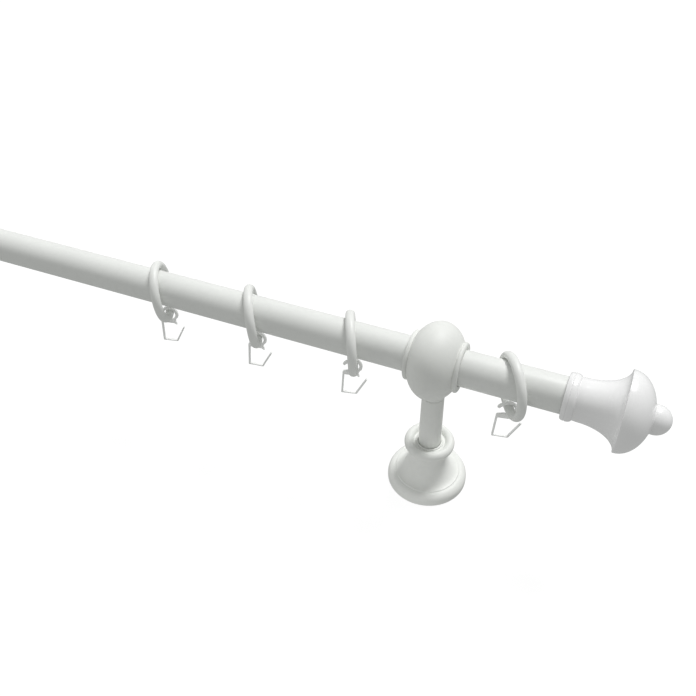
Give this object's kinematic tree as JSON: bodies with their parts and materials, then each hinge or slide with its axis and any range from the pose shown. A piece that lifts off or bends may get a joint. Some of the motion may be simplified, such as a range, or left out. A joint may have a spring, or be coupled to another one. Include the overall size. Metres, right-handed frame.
{
  "type": "curtain rod",
  "caption": "White curtain rod with two turned brackets, a flared ball finial at each end, and hanging rings with pleat hooks.",
  "frame": {"origin": "on the wall plane, midway between the two brackets, straight behind the rod", "axes": "+X along the rod to the finial seen in the picture, +Z from the wall out to the rod, +Y across"},
  "size_m": [1.0734, 0.0474, 0.1174],
  "materials": {
    "rod_paint": "satin white coating on a steel tube",
    "bracket_paint": "satin white",
    "finial_gloss": "glossy white",
    "ring_plastic": "smooth white moulded plastic",
    "hook_plastic": "natural white moulded plastic",
    "steel": "zinc plated"
  },
  "bodies": {
    "brackets_and_rod": {"rod": "rod_paint", "bracket_head_left": "bracket_paint", "bracket_stem_left": "bracket_paint", "wall_plate_left": "steel", "stem_stud_left": "steel", "rod_lock_screw_left": "steel", "bracket_head_right": "bracket_paint", "bracket_stem_right": "bracket_paint", "wall_plate_right": "steel", "stem_stud_right": "steel", "rod_lock_screw_right": "steel"},
    "rosette_left": {"cover_rosette_left": "bracket_paint"},
    "rosette_right": {"cover_rosette_right": "bracket_paint"},
    "end_left": {"finial_left": "finial_gloss"},
    "end_right": {"finial_right": "finial_gloss"},
    "ring_1": {"curtain_ring_1": "ring_plastic"},
    "hook_1": {"pleat_hook_1": "hook_plastic"},
    "ring_2": {"curtain_ring_2": "ring_plastic"},
    "hook_2": {"pleat_hook_2": "hook_plastic"},
    "ring_3": {"curtain_ring_3": "ring_plastic"},
    "hook_3": {"pleat_hook_3": "hook_plastic"},
    "ring_4": {"curtain_ring_4": "ring_plastic"},
    "hook_4": {"pleat_hook_4": "hook_plastic"},
    "ring_5": {"curtain_ring_5": "ring_plastic"},
    "hook_5": {"pleat_hook_5": "hook_plastic"},
    "ring_6": {"curtain_ring_6": "ring_plastic"},
    "hook_6": {"pleat_hook_6": "hook_plastic"},
    "ring_7": {"curtain_ring_7": "ring_plastic"},
    "hook_7": {"pleat_hook_7": "hook_plastic"},
    "ring_8": {"curtain_ring_8": "ring_plastic"},
    "hook_8": {"pleat_hook_8": "hook_plastic"},
    "ring_9": {"curtain_ring_9": "ring_plastic"},
    "hook_9": {"pleat_hook_9": "hook_plastic"},
    "ring_10": {"curtain_ring_10": "ring_plastic"},
    "hook_10": {"pleat_hook_10": "hook_plastic"}
  },
  "joints": [
    {"name": "rosette_lift_left", "type": "slide", "parent": "brackets_and_rod", "child": "rosette_left", "axis": [0, 0, 1], "range_m": [0, 0.038]},
    {"name": "rosette_lift_right", "type": "slide", "parent": "brackets_and_rod", "child": "rosette_right", "axis": [0, 0, 1], "range_m": [0, 0.038]},
    {"name": "finial_pull_left", "type": "slide", "parent": "brackets_and_rod", "child": "end_left", "axis": [-1, 0, 0], "range_m": [0, 0.02]},
    {"name": "finial_pull_right", "type": "slide", "parent": "brackets_and_rod", "child": "end_right", "axis": [1, 0, 0], "range_m": [0, 0.02]},
    {"name": "ring_slide_1", "type": "slide", "parent": "brackets_and_rod", "child": "ring_1", "axis": [1, 0, 0], "range_m": [-0.018, 0.0205]},
    {"name": "ring_slide_2", "type": "slide", "parent": "brackets_and_rod", "child": "ring_2", "axis": [1, 0, 0], "range_m": [-0.03, 0.0175]},
    {"name": "ring_slide_3", "type": "slide", "parent": "brackets_and_rod", "child": "ring_3", "axis": [1, 0, 0], "range_m": [-0.0175, 0.011]},
    {"name": "ring_slide_4", "type": "slide", "parent": "brackets_and_rod", "child": "ring_4", "axis": [1, 0, 0], "range_m": [-0.011, 0.0765]},
    {"name": "ring_slide_5", "type": "slide", "parent": "brackets_and_rod", "child": "ring_5", "axis": [1, 0, 0], "range_m": [-0.0765, 0.041]},
    {"name": "ring_slide_6", "type": "slide", "parent": "brackets_and_rod", "child": "ring_6", "axis": [1, 0, 0], "range_m": [-0.041, 0.0785]},
    {"name": "ring_slide_7", "type": "slide", "parent": "brackets_and_rod", "child": "ring_7", "axis": [1, 0, 0], "range_m": [-0.0785, 0.0145]},
    {"name": "ring_slide_8", "type": "slide", "parent": "brackets_and_rod", "child": "ring_8", "axis": [1, 0, 0], "range_m": [-0.0145, 0.015]},
    {"name": "ring_slide_9", "type": "slide", "parent": "brackets_and_rod", "child": "ring_9", "axis": [1, 0, 0], "range_m": [-0.015, 0.024]},
    {"name": "ring_slide_10", "type": "slide", "parent": "brackets_and_rod", "child": "ring_10", "axis": [1, 0, 0], "range_m": [-0.015, 0.015]},
    {"name": "hook_swing_1", "type": "hinge", "parent": "ring_1", "child": "hook_1", "pos_m": [-0.45955, 0.00039, 0.07534], "axis": [0.1392, 0.9903, 0], "range_deg": [-30, 30]},
    {"name": "hook_swing_2", "type": "hinge", "parent": "ring_2", "child": "hook_2", "pos_m": [-0.3661, -0.00033, 0.07537], "axis": [-0.0872, 0.9962, 0], "range_deg": [-30, 30]},
    {"name": "hook_swing_3", "type": "hinge", "parent": "ring_3", "child": "hook_3", "pos_m": [-0.30043, -0.0003, 0.07534], "axis": [0.1045, 0.9945, 0], "range_deg": [-30, 30]},
    {"name": "hook_swing_4", "type": "hinge", "parent": "ring_4", "child": "hook_4", "pos_m": [-0.24455, -0.00073, 0.07542], "axis": [-0.1908, 0.9816, 0], "range_deg": [-30, 30]},
    {"name": "hook_swing_5", "type": "hinge", "parent": "ring_5", "child": "hook_5", "pos_m": [-0.05989, -0.00026, 0.07537], "axis": [0.0523, 0.9986, 0], "range_deg": [-30, 30]},
    {"name": "hook_swing_6", "type": "hinge", "parent": "ring_6", "child": "hook_6", "pos_m": [0.05644, -0.00033, 0.07534], "axis": [-0.1219, 0.9925, 0], "range_deg": [-30, 30]},
    {"name": "hook_swing_7", "type": "hinge", "parent": "ring_7", "child": "hook_7", "pos_m": [0.24518, 0.00141, 0.07548], "axis": [-0.2756, 0.9613, 0], "range_deg": [-30, 30]},
    {"name": "hook_swing_8", "type": "hinge", "parent": "ring_8", "child": "hook_8", "pos_m": [0.30649, 0.00113, 0.07541], "axis": [-0.2079, 0.9781, 0], "range_deg": [-30, 30]},
    {"name": "hook_swing_9", "type": "hinge", "parent": "ring_9", "child": "hook_9", "pos_m": [0.36787, 0.00055, 0.07533], "axis": [-0.2756, 0.9613, 0], "range_deg": [-30, 30]},
    {"name": "hook_swing_10", "type": "hinge", "parent": "ring_10", "child": "hook_10", "pos_m": [0.45788, 0.00041, 0.07531], "axis": [-0.225, 0.9744, 0], "range_deg": [-30, 30]}
  ]
}
